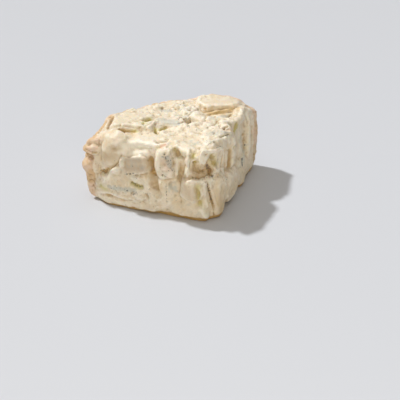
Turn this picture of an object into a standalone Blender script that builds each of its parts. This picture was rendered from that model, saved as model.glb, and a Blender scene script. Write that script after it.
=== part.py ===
"""A wedge of soft blue cheese, one eighth of a wheel: about a quarter of the wheel's lower half.

It stands on the rind of the wheel's flat side. The rind also wraps the curved back, and the two
radial cuts and the torn top show the paste, with its lumps, hollows, ledges and folds.
"""

import math

import bmesh
import bpy
import numpy as np
from mathutils import Matrix, Vector, noise

MM = 0.001

# Driving sizes of the wheel and of the wedge cut from it.
WHEEL_RADIUS = 143 * MM
HALF_WHEEL_HEIGHT = 89 * MM
WEDGE_ANGLE = math.radians(95)
HEEL_RADIUS = 13 * MM
RIND_BULGE = 5.5 * MM

# How finely the wedge is drawn and how many triangles the solid keeps.
LEVELS = 18
CUT_STEPS = 22
ARC_STEPS = 34
VOXEL = 1.9 * MM
TRIANGLES = 9000

# How far the foot is pressed flat, how square the lumps are, where 2 would be a plain ball, and how
# much the edges of the broken chunks wander, as a share of a chunk.
FOOT_PRESS = 0.7 * MM
BLOCKINESS = 2.6
CHUNK_BEND = 0.4

PASTE_COLOUR = (0.84, 0.76, 0.63, 1)
PASTE_ROUGHNESS = 0.5

# The wedge is drawn with the wheel's centre at the origin and the bisector along +Y.
HALF_ANGLE = WEDGE_ANGLE / 2
TO_LEFT_END = Vector((-math.sin(HALF_ANGLE), math.cos(HALF_ANGLE), 0))
TO_RIGHT_END = Vector((math.sin(HALF_ANGLE), math.cos(HALF_ANGLE), 0))
LEFT_OUT = Vector((-math.cos(HALF_ANGLE), -math.sin(HALF_ANGLE), 0))
RIGHT_OUT = Vector((math.cos(HALF_ANGLE), -math.sin(HALF_ANGLE), 0))

# Bow of the two cut faces beyond a straight cut, at the foot and at the top.
# Each row is (share of the way from tip to rind, bow at the foot, bow at the top), in millimetres.
LEFT_BOW = (
    (0.0, 2, 2), (0.1, 4, 3), (0.3, 4, 2), (0.5, 3, 1), (0.65, 2, 0), (0.85, 1.5, 0), (1.0, -1, 0),
)
RIGHT_BOW = (
    (0.0, 2, 2), (0.1, 5, 6), (0.2, 4.5, 7), (0.32, 3, 5), (0.43, 3, 3), (0.54, 3, 1),
    (0.65, 2, 0), (0.8, 1, -2), (1.0, -1.5, -2),
)

# Height of the top along the curved rind, from the left end to the right end of the arc.
# Each row is (share of the arc, height above the half wheel's height in millimetres).
RIM_RISE = (
    (0.0, -12), (0.06, -9), (0.12, -2), (0.17, 1.5), (0.3, 1), (0.42, -0.5), (0.55, 0), (0.62, -1),
    (0.68, 1.5), (0.76, 4), (0.86, 3), (0.92, -2), (0.96, -9), (1.0, -11),
)
RIM_REACH = 26 * MM

# How far the rind swells beyond the wheel's radius, from the left end to the right end of the arc.
RIND_SWELL = ((0.0, 4), (0.1, 2), (0.3, 0), (0.75, 0), (0.9, 1.5), (1.0, 3.5))

# Relief of the torn top: name, centre x and y, half length, half width, turn in degrees, rise and
# softness of the edge. Lengths are in millimetres.
TOP_RELIEF = (
    ("slab", 64, 115, 27, 26, -18, 8.5, 0.07),
    ("slab_wing", 86, 100, 14, 18, -40, 3.0, 0.15),
    ("left_plateau", -56, 106, 30, 24, -20, 6.5, 0.08),
    ("mould_flat_far", -2, 118, 14, 8, -6, -2.5, 0.25),
    ("mould_flat_near", -12, 88, 19, 10, -10, 4.0, 0.18),
    ("left_recess", -65, 77, 12, 3.5, -22, -2.5, 0.50),
    ("green_hollow", -36, 94, 8, 5, 20, -6.0, 0.40),
    ("pale_ridge", -35, 84, 11, 4, 48, 4.0, 0.50),
    ("twin_hollow_a", -34, 71, 3.5, 6, 0, -5.0, 0.45),
    ("twin_hollow_b", -24, 74, 8, 3, 10, -4.0, 0.45),
    ("middle_basin", -12, 60, 12, 8, -12, -3.0, 0.40),
    ("dark_hollow", 10, 79, 5, 8, 25, -9.0, 0.40),
    ("crag_behind", 22, 104, 14, 6, 30, 4.0, 0.25),
    ("crag_middle", 28, 80, 12, 8, -24, 4.0, 0.25),
    ("trench", 54, 80, 26, 8, -18, -4.0, 0.30),
    ("peak", 74, 76, 9, 7, 40, 6.0, 0.40),
    ("near_right_flat", 26, 38, 22, 12, 44, 3.0, 0.20),
    ("near_right_step", 34, 55, 17, 4, 35, -5.0, 0.40),
    ("tip_fall", 4, 2, 22, 9, -4, -4.0, 0.45),
    ("tip_ridge", 14, 14, 16, 4, 30, 2.5, 0.45),
    ("red_dimple", -36, 42, 8, 4, -25, -5.0, 0.45),
    ("boulder_gap", -66, 62, 5, 13, -20, -2.5, 0.50),
)
TOP_FADE = 36 * MM

# Relief of the two cuts: name, distance along the cut from the tip, height, half length, half
# height, turn in degrees, distance outwards and softness of the edge. Lengths are in millimetres.
# A positive turn lowers the far end of a left row and raises the far end of a right row.
LEFT_RELIEF = (
    ("facet_block", 86, 60.5, 15.5, 12.5, 9, 6.5, 0.06),
    ("facet_ledge", 86, 82, 14, 7, 4, -1.0, 0.40),
    ("front_ridge", 101, 38, 16, 17, 45, 6.5, 0.07),
    ("lower_front", 86, 22, 50, 23, 10, 5.0, 0.14),
    ("left_corner", 134, 28, 7, 24, 0, -2.0, 0.40),
    ("notch_valley", 61, 42, 5, 15, 16, -5.0, 0.40),
    ("middle_lump", 48, 69, 10, 17, 0, 8.0, 0.16),
    ("hollow_wall", 29, 62, 6, 18, -4, -6.0, 0.25),
    ("pillar", 20.5, 71, 2.5, 17, 0, 3.5, 0.50),
    ("lens_hollow", 83, 33, 7, 2.6, -34, -3.5, 0.40),
    ("small_hollow", 72, 22, 4, 2.4, -10, -2.0, 0.50),
    ("ledge_far", 112, 12, 13, 2.0, -12, -3.0, 0.60),
    ("ledge_near", 82, 11.5, 10, 1.8, 14, -2.5, 0.60),
    ("mould_facet", 38, 36, 9, 11, 10, -2.0, 0.30),
    ("corner_boulder", 14.5, 41, 13.5, 13, 4, 8.0, 0.14),
    ("corner_valley", 7, 36, 2.5, 14, 4, -4.5, 0.50),
    ("corner_foot", 22, 12, 18, 8, 0, 1.5, 0.40),
)
RIGHT_RELIEF = (
    ("near_lobe", 19, 24, 11, 26, -4, 7.0, 0.22),
    ("big_lobe", 54, 20, 20, 18, -12, 7.0, 0.28),
    ("far_lobe", 92, 12, 14, 12, -18, 3.5, 0.40),
    ("foot_gap", 39, 2, 4, 9, 0, -5.0, 0.50),
    ("lobe_undercut", 66, 0, 20, 9, 10, -6.0, 0.30),
    ("trough", 46, 60, 4.5, 16, -13, -8.0, 0.40),
    ("ridge", 59, 64, 4, 20, -6, 4.5, 0.40),
    ("near_trough", 30, 68, 3.5, 14, -8, -5.0, 0.50),
    ("olive_hollow", 76, 86, 6, 10, -12, -9.0, 0.40),
    ("far_facet", 96, 58, 18, 24, 4, -3.5, 0.12),
    ("far_ridge", 117, 56, 3, 26, 0, 4.0, 0.50),
    ("rind_step", 131, 56, 7, 24, 0, -3.5, 0.30),
)
CUT_DEPTH = 24 * MM

# Places that stay smooth between the broken curds, as in the tables above. The sixth value is the
# share of the roughness that goes.
CALM_TOP = (
    ("slab", 64, 115, 27, 28, -18, 0.8, 0.12),
    ("left_plateau", -56, 106, 30, 24, -20, 0.6, 0.15),
    ("mould_flat_near", -12, 88, 19, 10, -10, 0.8, 0.18),
    ("front_slope", -54, 60, 20, 14, -43, 0.7, 0.40),
)
CALM_LEFT = (
    ("facet", 86, 61, 16, 13, 9, 0.8, 0.15),
    ("boulder", 114, 68, 18, 24, 10, 0.6, 0.15),
    ("corner_boulder", 14.5, 41, 14, 14, 4, 0.6, 0.20),
)

# Lumps fused on, hollows carved under an overhang, and teeth left standing in the hollows. Each row
# is name, face, distance along the face from the tip, height, distance outside the cut, and half
# sizes along, outwards and upwards, in millimetres, then in degrees the turn and how far the outer
# end dips.
LUMPS = (
    ("left_boulder", "left", 113, 67, -6, 15, 16, 22, 6, 0),
    ("boulder_top", "left", 110, 80, -8, 17, 18, 12, -6, 0),
    ("lower_boulder", "left", 110, 59, -4, 9, 12, 11, 40, 0),
    ("rind_lump_upper", "left", 141, 75, -5, 12, 11, 9, 10, 0),
    ("rind_lump_lower", "left", 146, 46, -6, 10, 12, 10.5, -8, 0),
)
HOLLOWS = (
    ("front_ramp", "left", 80, 91.5, -1.5, 16, 28, 14, 4, 35),
    ("boulder_crevice", "left", 117, 51, 4, 19, 14, 3.8, 46, 0),
    ("crevice_end", "left", 127, 38, 4, 7, 9, 5, 20, 0),
    ("deep_notch", "left", 64, 60, 12, 5.5, 20, 19, 14, 0),
    ("small_cave", "left", 33, 81, 5, 6, 11, 7, 0, 0),
    ("lump_crevice", "left", 47, 50, 7, 9, 13, 2.8, -14, 0),
    ("big_hollow", "left", -3, 70, 5, 20, 19, 18.5, 0, 0),
    ("hollow_mouth", "left", -3, 77, 9, 15, 12, 11, 0, 0),
    ("hollow_pocket", "right", 12, 77, 8, 7, 11, 9, 0, 0),
    ("fold_crack", "right", 4, 32, 12, 1.8, 12, 20, -12, 0),
    ("rind_notch", "left", 154, 60, -8, 6, 18, 3.5, -12, 0),
    ("rind_gap", "left", 131, 92, -26, 4, 12, 9, -20, 0),
)
TEETH = (
    ("hanging_tooth", "left", 4, 85, -2, 3, 6, 9, 4, 0),
)


def smooth_step(value):
    """0 below 0, 1 above 1 and a smooth rise between, for a number or an array."""
    clipped = np.clip(value, 0, 1)
    return clipped * clipped * (3 - 2 * clipped)


def read_rows(rows, share, column=1):
    """A column of a table, in metres, read between its rows."""
    shares = [row[0] for row in rows]
    values = [row[column] for row in rows]
    return np.interp(share, shares, values) * MM


def face_point(face, along, height, out):
    """A point given by its distance from the tip, height and distance outside a cut, in metres."""
    if face == "left":
        flat = TO_LEFT_END * along + LEFT_OUT * out
    else:
        flat = TO_RIGHT_END * along + RIGHT_OUT * out
    return Vector((flat.x, flat.y, height))


def heel_inset(height):
    """How far the rind's rounded heel lies inside the wheel's radius."""
    if height >= HEEL_RADIUS:
        return 0.0
    up = HEEL_RADIUS - height
    return HEEL_RADIUS - math.sqrt(max(HEEL_RADIUS**2 - up**2, 0))


def rind_radius(height):
    """Radius of the curved rind: a round heel below a slightly bulging side."""
    share = height / HALF_WHEEL_HEIGHT
    bulge = RIND_BULGE * math.sin(math.pi * min(share * 1.05, 1)) ** 0.7
    return WHEEL_RADIUS + bulge - heel_inset(height)


def wedge_outline(height):
    """The wedge's outline at one height, going from the tip to the left end, the arc and back."""
    share_up = height / HALF_WHEEL_HEIGHT
    radius = rind_radius(height)
    points = []
    for step in range(CUT_STEPS):
        share = step / CUT_STEPS
        foot, top = read_rows(LEFT_BOW, share, 1), read_rows(LEFT_BOW, share, 2)
        points.append(face_point("left", share * radius, height, foot + (top - foot) * share_up))
    for step in range(ARC_STEPS + 1):
        turn = HALF_ANGLE - WEDGE_ANGLE * step / ARC_STEPS
        swollen = radius + read_rows(RIND_SWELL, step / ARC_STEPS)
        points.append(Vector((-math.sin(turn) * swollen, math.cos(turn) * swollen, height)))
    for step in range(CUT_STEPS - 1, 0, -1):
        share = step / CUT_STEPS
        foot, top = read_rows(RIGHT_BOW, share, 1), read_rows(RIGHT_BOW, share, 2)
        points.append(face_point("right", share * radius, height, foot + (top - foot) * share_up))
    return points


def add_object(name, mesh):
    """A new object in the scene that holds the mesh."""
    made = bpy.data.objects.new(name, mesh)
    bpy.context.scene.collection.objects.link(made)
    return made


def ring_of(shape, points):
    """The edges of one closed ring through the points."""
    corners = [shape.verts.new(point) for point in points]
    return [shape.edges.new((corners[index - 1], corners[index])) for index in range(len(corners))]


def plain_wedge():
    """The wedge without its relief: rings drawn level by level, bridged and closed at both ends."""
    shape = bmesh.new()
    heights = [HALF_WHEEL_HEIGHT * level / LEVELS for level in range(LEVELS + 1)]
    rings = [ring_of(shape, wedge_outline(height)) for height in heights]
    for below, above in zip(rings, rings[1:]):
        bmesh.ops.bridge_loops(shape, edges=below + above)
    bmesh.ops.edgeloop_fill(shape, edges=rings[0])
    bmesh.ops.edgeloop_fill(shape, edges=rings[-1])
    bmesh.ops.recalc_face_normals(shape, faces=shape.faces)
    mesh = bpy.data.meshes.new("gorgonzola")
    shape.to_mesh(mesh)
    shape.free()
    return add_object("gorgonzola", mesh)


def rough_ball(row, seed):
    """A lump or a cutter: a ball stretched to its half sizes, turned and made uneven."""
    name, face, along, height, out, half_along, half_out, half_up, turn, dip = row
    up_axis = Vector((0, 0, 1))
    out_axis = LEFT_OUT if face == "left" else RIGHT_OUT
    along_axis = TO_LEFT_END if face == "left" else TO_RIGHT_END
    tilt = Matrix.Rotation(-math.radians(dip), 3, out_axis.cross(up_axis))
    spin = tilt @ Matrix.Rotation(math.radians(turn), 3, out_axis)
    axes = (spin @ along_axis * half_along, spin @ out_axis * half_out, spin @ up_axis * half_up)
    centre = face_point(face, along * MM, height * MM, out * MM)
    shape = bmesh.new()
    bmesh.ops.create_icosphere(shape, subdivisions=3, radius=1)
    shift = Vector((seed * 7.3, seed * 3.1, seed * 5.7))
    for vert in shape.verts:
        uneven = 1 + 0.22 * noise.noise(vert.co * 1.6 + shift)
        boxy = sum(abs(side) ** BLOCKINESS for side in vert.co) ** (-1 / BLOCKINESS)
        spot = vert.co * uneven * boxy
        vert.co = centre + (axes[0] * spot.x + axes[1] * spot.y + axes[2] * spot.z) * MM
    bmesh.ops.recalc_face_normals(shape, faces=shape.faces)
    mesh = bpy.data.meshes.new(name)
    shape.to_mesh(mesh)
    shape.free()
    return add_object(name, mesh)


def apply_modifiers(body):
    """Makes the body's evaluated mesh its own and drops its modifiers."""
    graph = bpy.context.evaluated_depsgraph_get()
    mesh = bpy.data.meshes.new_from_object(body.evaluated_get(graph))
    body.modifiers.clear()
    body.data = mesh


def fuse(body, rows, operation, first_seed):
    """Joins the rows' rough balls to the body, or cuts them out of it, with one Boolean."""
    group = bpy.data.collections.new(operation.lower())
    bpy.context.scene.collection.children.link(group)
    balls = [rough_ball(row, first_seed + index) for index, row in enumerate(rows)]
    for ball in balls:
        group.objects.link(ball)
    boolean = body.modifiers.new(operation.lower(), "BOOLEAN")
    boolean.operation = operation
    boolean.operand_type = "COLLECTION"
    boolean.collection = group
    boolean.solver = "EXACT"
    apply_modifiers(body)
    for ball in balls:
        bpy.data.objects.remove(ball)
    bpy.data.collections.remove(group)


def remesh(body, voxel):
    """Replaces the mesh by even small faces, which also rounds every crease a little."""
    even = body.modifiers.new("even_faces", "REMESH")
    even.mode = "VOXEL"
    even.voxel_size = voxel
    apply_modifiers(body)


def noise_of(points, size, seed):
    """Smooth noise from about -1 to 1 at each point, with features of that size in metres."""
    shift = Vector((seed * 11.7, seed * 4.9, seed * 8.3))
    return np.array([noise.noise(Vector(point) / size + shift) for point in points])


def relief(across, up, rows):
    """The rows' slabs and hollows at each point of a face, in metres. Where two overlap, one counts."""
    raised, sunk = np.zeros(len(across)), np.zeros(len(across))
    for _, centre_across, centre_up, half_length, half_width, turn, rise, edge in rows:
        cos, sin = math.cos(math.radians(turn)), math.sin(math.radians(turn))
        aside, above = across - centre_across * MM, up - centre_up * MM
        length = (aside * cos + above * sin) / (half_length * MM)
        width = (above * cos - aside * sin) / (half_width * MM)
        reach = (np.abs(length) ** 3 + np.abs(width) ** 3) ** (1 / 3)
        share = rise * MM * smooth_step((1 + edge - reach) / (2 * edge))
        raised, sunk = np.maximum(raised, share), np.minimum(sunk, share)
    return raised + sunk


def chunks(points, size, seed, softness):
    """Broken facets from about -1 to 1: each cell has its own level and tilt, a step from the next."""
    shift = Vector((seed * 3.7, seed * 9.1, seed * 5.3))
    bends = np.stack([noise_of(points, size / 1.4, seed + offset) for offset in (20, 40, 60)], axis=1)
    values = np.empty(len(points))
    for index, point in enumerate(points):
        spot = Vector(point) / size + shift + Vector(bends[index]) * CHUNK_BEND
        distances, centres = noise.voronoi(spot)
        levels = []
        for centre in centres[:2]:
            chance = noise.cell_vector(centre * 91.7)
            slope = Vector((chance.y, chance.z, chance.x)) * 0.9
            levels.append(chance.x + slope.dot(spot - centre))
        share = 0.5 + 0.5 * float(smooth_step((distances[1] - distances[0]) / softness))
        values[index] = levels[0] * share + levels[1] * (1 - share)
    return values


def rim_rise(points):
    """How high the top stands along the curved rind, and how much that counts at each point."""
    radius = np.hypot(points[:, 0], points[:, 1])
    share = (HALF_ANGLE - np.arctan2(-points[:, 0], points[:, 1])) / WEDGE_ANGLE
    near_rim = smooth_step((radius - (WHEEL_RADIUS - RIM_REACH)) / RIM_REACH)
    return read_rows(RIM_RISE, np.clip(share, 0, 1)), near_rim


def read_mesh(body):
    """Points and normals of the body's mesh as arrays."""
    count = len(body.data.vertices)
    points, normals = np.empty(count * 3), np.empty(count * 3)
    body.data.vertices.foreach_get("co", points)
    body.data.vertices.foreach_get("normal", normals)
    return points.reshape(-1, 3), normals.reshape(-1, 3)


def write_points(body, points):
    """Moves the body's points to these places."""
    body.data.vertices.foreach_set("co", points.ravel())
    body.data.update()


def face_places(points):
    """For the top and the two cuts: both coordinates on the face and how much each point is on it."""
    out_left, out_right = points @ np.array(LEFT_OUT), points @ np.array(RIGHT_OUT)
    height = points[:, 2]
    return {
        "top": (points[:, 0], points[:, 1], smooth_step((height - HALF_WHEEL_HEIGHT) / TOP_FADE + 1)),
        "left": (points @ np.array(TO_LEFT_END), height, smooth_step(out_left / CUT_DEPTH + 1)),
        "right": (points @ np.array(TO_RIGHT_END), height, smooth_step(out_right / CUT_DEPTH + 1)),
    }


def shape_faces(body):
    """Gives the top and the two cuts their slabs, ledges and hollows."""
    points, _ = read_mesh(body)
    wide = np.stack([noise_of(points, 15 * MM, seed) for seed in (1, 2, 3)], axis=1)
    ragged = np.stack([noise_of(points, 6 * MM, seed) for seed in (7, 8, 9)], axis=1)
    faces = face_places(points + (3 * wide + 1.2 * ragged) * MM)
    rim, near_rim = rim_rise(points)
    across, up, on_top = faces["top"]
    lift = relief(across, up, TOP_RELIEF) * (1 - 0.6 * near_rim) + rim * near_rim
    across, up, on_left = faces["left"]
    push_left = relief(across, up, [turned(row) for row in LEFT_RELIEF]) * on_left
    across, up, on_right = faces["right"]
    push_right = relief(across, up, RIGHT_RELIEF) * on_right
    points += push_left[:, None] * np.array(LEFT_OUT) + push_right[:, None] * np.array(RIGHT_OUT)
    points[:, 2] += lift * on_top
    write_points(body, points)


def calm_share(points):
    """Share of the roughness that goes at each point."""
    faces = face_places(points)
    across, up, on_top = faces["top"]
    calm = relief(across, up, CALM_TOP) * on_top
    across, up, on_left = faces["left"]
    calm += relief(across, up, [turned(row) for row in CALM_LEFT]) * on_left * (1 - on_top)
    return np.clip(calm / MM, 0, 1)


def turned(row):
    """A left row with its turn the other way, because distances there run to the viewer's left."""
    return (*row[:5], -row[5], *row[6:])


def roughen(body):
    """Broken curds on the top, softer ones on the cuts, a rough rind and a smooth foot."""
    points, normals = read_mesh(body)
    radius = np.hypot(points[:, 0], points[:, 1])
    rind = smooth_step((radius - (WHEEL_RADIUS - 4 * MM)) / (4 * MM))
    above_foot = smooth_step((points[:, 2] - 2 * MM) / (7 * MM))
    top = smooth_step((normals[:, 2] - 0.3) / 0.5)
    large = chunks(points * (1, 1, 0.8), 19 * MM, 3, 0.22)
    small = chunks(points, 9 * MM, 4, 0.30)
    smear = noise_of(points * (1, 1, 0.6), 22 * MM, 5)
    grain = noise_of(points, 6 * MM, 6)
    torn = 2.8 * large + 1.2 * small + 0.4 * grain
    cut = 1.4 * large + 0.5 * small + 0.5 * smear + 0.3 * grain
    amount = (torn * top + cut * (1 - top)) * (1 - calm_share(points))
    amount = amount * (1 - 0.5 * rind) + (0.8 * smear + 0.8 * grain) * rind
    points += normals * (amount * above_foot)[:, None] * MM
    write_points(body, points)


def relax(body, passes):
    """Evens out the steps that the remeshing leaves."""
    smooth = body.modifiers.new("relax", "SMOOTH")
    smooth.factor = 0.5
    smooth.iterations = passes
    apply_modifiers(body)


def lighten(body, triangles):
    """Keeps about that many triangles, most of them where the surface turns."""
    count = sum(len(face.vertices) - 2 for face in body.data.polygons)
    fewer = body.modifiers.new("fewer", "DECIMATE")
    fewer.ratio = triangles / count
    fewer.use_collapse_triangulate = True
    apply_modifiers(body)


def seat(body):
    """Presses the foot flat and moves the body so that the origin is the middle of its box's foot."""
    points, _ = read_mesh(body)
    lowest = points[:, 2].min()
    points[points[:, 2] < lowest + FOOT_PRESS, 2] = lowest
    write_points(body, points)
    middle = (points.min(axis=0) + points.max(axis=0)) / 2
    body.location = (-middle[0], -middle[1], -lowest)


def paste_material():
    """Ivory paste, a little glossy."""
    made = bpy.data.materials.new("paste")
    made.use_nodes = True
    shader = made.node_tree.nodes["Principled BSDF"]
    shader.inputs["Base Color"].default_value = PASTE_COLOUR
    shader.inputs["Roughness"].default_value = PASTE_ROUGHNESS
    shader.inputs["Metallic"].default_value = 0
    return made


def main():
    for old in list(bpy.data.objects):
        bpy.data.objects.remove(old)
    body = plain_wedge()
    fuse(body, LUMPS, "UNION", 1)
    fuse(body, HOLLOWS, "DIFFERENCE", 40)
    fuse(body, TEETH, "UNION", 80)
    remesh(body, VOXEL)
    relax(body, 2)
    shape_faces(body)
    roughen(body)
    relax(body, 1)
    lighten(body, TRIANGLES)
    seat(body)
    body.data.materials.append(paste_material())
    body.data.shade_smooth()
    bpy.context.view_layer.update()


main()
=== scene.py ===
import math

import bmesh
import bpy
import numpy as np
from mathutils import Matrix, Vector, noise
from mathutils.bvhtree import BVHTree


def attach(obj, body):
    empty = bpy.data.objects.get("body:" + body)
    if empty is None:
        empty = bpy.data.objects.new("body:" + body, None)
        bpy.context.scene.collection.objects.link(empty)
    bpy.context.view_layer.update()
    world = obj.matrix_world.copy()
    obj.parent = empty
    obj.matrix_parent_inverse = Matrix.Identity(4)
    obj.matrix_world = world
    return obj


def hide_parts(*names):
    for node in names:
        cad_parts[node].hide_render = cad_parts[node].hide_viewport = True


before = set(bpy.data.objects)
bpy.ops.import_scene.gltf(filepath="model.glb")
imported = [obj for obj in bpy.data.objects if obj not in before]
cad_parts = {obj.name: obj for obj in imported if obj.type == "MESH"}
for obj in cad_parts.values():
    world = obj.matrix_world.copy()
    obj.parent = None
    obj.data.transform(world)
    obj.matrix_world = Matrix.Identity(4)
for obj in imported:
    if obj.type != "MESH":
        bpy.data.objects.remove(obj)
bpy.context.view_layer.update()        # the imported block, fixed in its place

mm = 0.001

# Where the wheel's axis stands in the part's frame, and how far out its rind lies.
wheel = {
    "axis": (2.3 * mm, -71.5 * mm),
    "radius": 143 * mm,
}

# The picture's viewpoint, in degrees, metres and the lens's own millimetres.
view = {
    "azimuth": -21.74,
    "elevation": 30.56,
    "distance": 1.32,
    "lens": 99,
    "sensor": 36,
    "target": (14.2 * mm, -24.5 * mm, 0),
    "clipStart": 10 * mm,
    "imageSize": 400,
}


# camera

def viewAxes():
    turn, rise = math.radians(view["azimuth"]), math.radians(view["elevation"])
    back = Vector((math.sin(turn) * math.cos(rise), -math.cos(turn) * math.cos(rise), math.sin(rise)))
    right = Vector((math.cos(turn), math.sin(turn), 0))
    return back, right, back.cross(right)


def addCamera():
    back, _, _ = viewAxes()
    camera = bpy.data.objects.new("camera", bpy.data.cameras.new("camera"))
    bpy.context.scene.collection.objects.link(camera)
    camera.data.lens = view["lens"]
    camera.data.sensor_width = view["sensor"]
    camera.data.clip_start = view["clipStart"]
    camera.location = Vector(view["target"]) + back * view["distance"]
    camera.rotation_euler = back.to_track_quat("Z", "Y").to_euler()
    bpy.context.scene.camera = camera


def pixelRay(pixel):        # start and direction of the ray through a pixel of the picture
    back, right, up = viewAxes()
    half = view["imageSize"] / 2
    focal = view["lens"] / view["sensor"] * view["imageSize"]
    aside, above = (pixel[0] - half) / focal, (half - pixel[1]) / focal
    start = Vector(view["target"]) + back * view["distance"]
    return start, (right * aside + up * above - back).normalized()


addCamera()
print("camera placed")


# light and floor

light = {
    "towards": (-0.369, 0.419, 0.829),   # from the block to the sun
    "strength": 2.4,
    "softness": 4,                       # how wide the sun looks, in degrees
    "fill": 0.31,                        # even light from all round
    "fillColour": (1.0, 0.86, 0.64, 1),
    "skyPower": 18,                      # a wide soft lamp straight above
    "skyColour": (0.74, 0.83, 1.0),
    "skySize": 3,
    "skyHeight": 2.4,
    "bouncePower": 6.8,                  # a low lamp that lightens the cuts
    "bounceColour": (1.0, 0.89, 0.71),
    "bounceSize": 0.9,
    "bouncePlace": (-0.60, -1.42, 0.30),
    "floorColour": (0.60, 0.625, 0.675, 1),
    "floorRoughness": 0.8,
    "floorSize": 6,
}


def addLamp(name, kind, energy, towards):        # a lamp that shines from that direction
    lamp = bpy.data.objects.new(name, bpy.data.lights.new(name, kind))
    bpy.context.scene.collection.objects.link(lamp)
    lamp.data.energy = energy
    lamp.rotation_euler = Vector(towards).to_track_quat("Z", "Y").to_euler()
    return lamp


def addLight():
    sun = addLamp("keyLight", "SUN", light["strength"], light["towards"])
    sun.data.angle = math.radians(light["softness"])
    sky = addLamp("skyLight", "AREA", light["skyPower"], (0, 0, 1))
    sky.data.color = light["skyColour"]
    sky.data.size = light["skySize"]
    sky.location.z = light["skyHeight"]
    bounce = addLamp("bounceLight", "AREA", light["bouncePower"], light["bouncePlace"])
    bounce.data.color = light["bounceColour"]
    bounce.data.size = light["bounceSize"]
    bounce.location = light["bouncePlace"]
    world = bpy.data.worlds.new("studio")
    bpy.context.scene.world = world
    world.use_nodes = True
    background = world.node_tree.nodes["Background"]
    background.inputs["Color"].default_value = light["fillColour"]
    background.inputs["Strength"].default_value = light["fill"]
    bpy.context.scene.view_settings.view_transform = "Standard"


def addFloor():
    shape = bmesh.new()
    bmesh.ops.create_grid(shape, x_segments=1, y_segments=1, size=light["floorSize"] / 2)
    mesh = bpy.data.meshes.new("floor")
    shape.to_mesh(mesh)
    shape.free()
    floor = bpy.data.objects.new("floor", mesh)
    bpy.context.scene.collection.objects.link(floor)
    finish = bpy.data.materials.new("paleFloor")
    finish.use_nodes = True
    shader = finish.node_tree.nodes["Principled BSDF"]
    shader.inputs["Base Color"].default_value = light["floorColour"]
    shader.inputs["Roughness"].default_value = light["floorRoughness"]
    mesh.materials.append(finish)


addLight()
addFloor()
print("light and floor placed")


# the block's surface

block = {
    "weld": 0.01 * mm,            # points nearer than this become one
    "voxel": 1.15 * mm,           # size of the fine faces
    "evenShare": 0.5,             # how far each smoothing pass evens them out
    "evenPasses": 2,
    "slabSize": 15 * mm,          # broad broken slabs, each at its own level
    "slabRise": 0.8 * mm,
    "slabStep": 0.12,             # width of the step between two, as a share of their size
    "flakeSize": 7.5 * mm,        # flat flakes on them
    "flakeRise": 1.05 * mm,
    "flakeStep": 0.15,
    "tilt": 0.9,                  # slope of the slabs and flakes
    "tiltSpread": 91.7,           # gives each of them a level and slope of its own
    "flakeBend": 0.35,            # how much the edges of slabs and flakes wander
    "bendScale": 1.3,             # how many times larger a slab or flake is than its edge's waves
    "curdSize": 5.0 * mm,         # rounded curds between them
    "curdRise": 0.55 * mm,
    "curdLevel": 0.6,             # what lies higher in a curd is raised, and the rest lowered
    "curdBend": 0.3,
    "curdCrease": 4,              # how narrow the creases between curds are
    "pitSize": 4.5 * mm,          # sparse small pits
    "pitDepth": 1.8 * mm,
    "pitStart": 0.36,             # noise above this makes a pit
    "pitSlope": 6,
    "smearSize": 8 * mm,          # knife smears down the cuts
    "smearRise": 1.0 * mm,
    "smearStretch": (1, 1, 0.35),
    "smearCalm": 0.5,             # what is taken off them where the paste is smooth
    "grain": 2.4 * mm,
    "grainRise": 0.16 * mm,
    "cutShares": (0.8, 0.6, 0.3, 0.4),     # slabs, flakes, curds and pits on the cuts, of those on top
    "topSlope": 0.25,             # a normal that points up by more than this is on the top
    "topFade": 0.5,
    "patchSize": 20 * mm,         # patches where the paste is torn more
    "patchContrast": 1.8,
    "patchLevel": 0.4,
    "patchLeast": 0.45,           # what stays of the relief between those patches
    "calmShare": 0.22,            # and where the paste is smooth
    "crumblyShare": 0.6,          # what is added where it is crumbly
    "rindDepth": 4.5 * mm,        # paste further in than this isn't rind
    "rimDepth": 2.5 * mm,         # how much further in it reaches along the top edge
    "rimStart": 70 * mm,
    "rimFade": 15 * mm,
    "rindEdge": 9 * mm,           # the rind's edge wanders with waves of this size
    "rindWander": 1.8 * mm,
    "rindFade": 2 * mm,
    "rindSize": 4.5 * mm,         # wrinkles of the rind
    "rindRise": 0.6 * mm,
    "rindStretch": (1, 1, 1.6),
    "rindShare": 0.5,             # curds and pits on the rind, of those on the paste
    "rindLeast": 0.25,
    "waveSize": 18 * mm,          # its broader waves
    "waveRise": 1.2 * mm,
    "footRind": 5.0 * mm,         # height of the rind along the foot
    "footThin": 2.6 * mm,         # and at the left end, where it is thinnest
    "footLeft": -95 * mm,
    "footWidening": 60 * mm,
    "footEdge": 7 * mm,
    "footWander": 1.2 * mm,
    "footFade": 1.0 * mm,
    "footFlat": 1.5 * mm,         # no relief below this height, so that the foot stays flat
    "footEase": 4 * mm,
    "strokeRagged": 3 * mm,       # strokes, stains and the painted light and shade have ragged edges
    "strokeRaggedShare": 0.35,
    "stepWidth": 0.8 * mm,
    "facingSlope": 1.5,           # how fast strokes, stains and painted light and shade gain as the surface turns their way
    "facingLeast": 0.3,           # what a stain, painted shade or painted highlight keeps where the surface turns away from it
    "coverReach": 1.5,            # a stretch ends this many widths from its path
    "markFine": 2.5 * mm,
    "markFineShare": 0.35,
    "markWide": 6 * mm,
    "markWideShare": 0.25,
    "fineHollowPasses": 8,        # smoothing passes that show creases, and then hollows
    "fineHollowGain": 0.9,
    "wideHollowPasses": 60,
    "wideHollowGain": 0.2,
}

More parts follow.
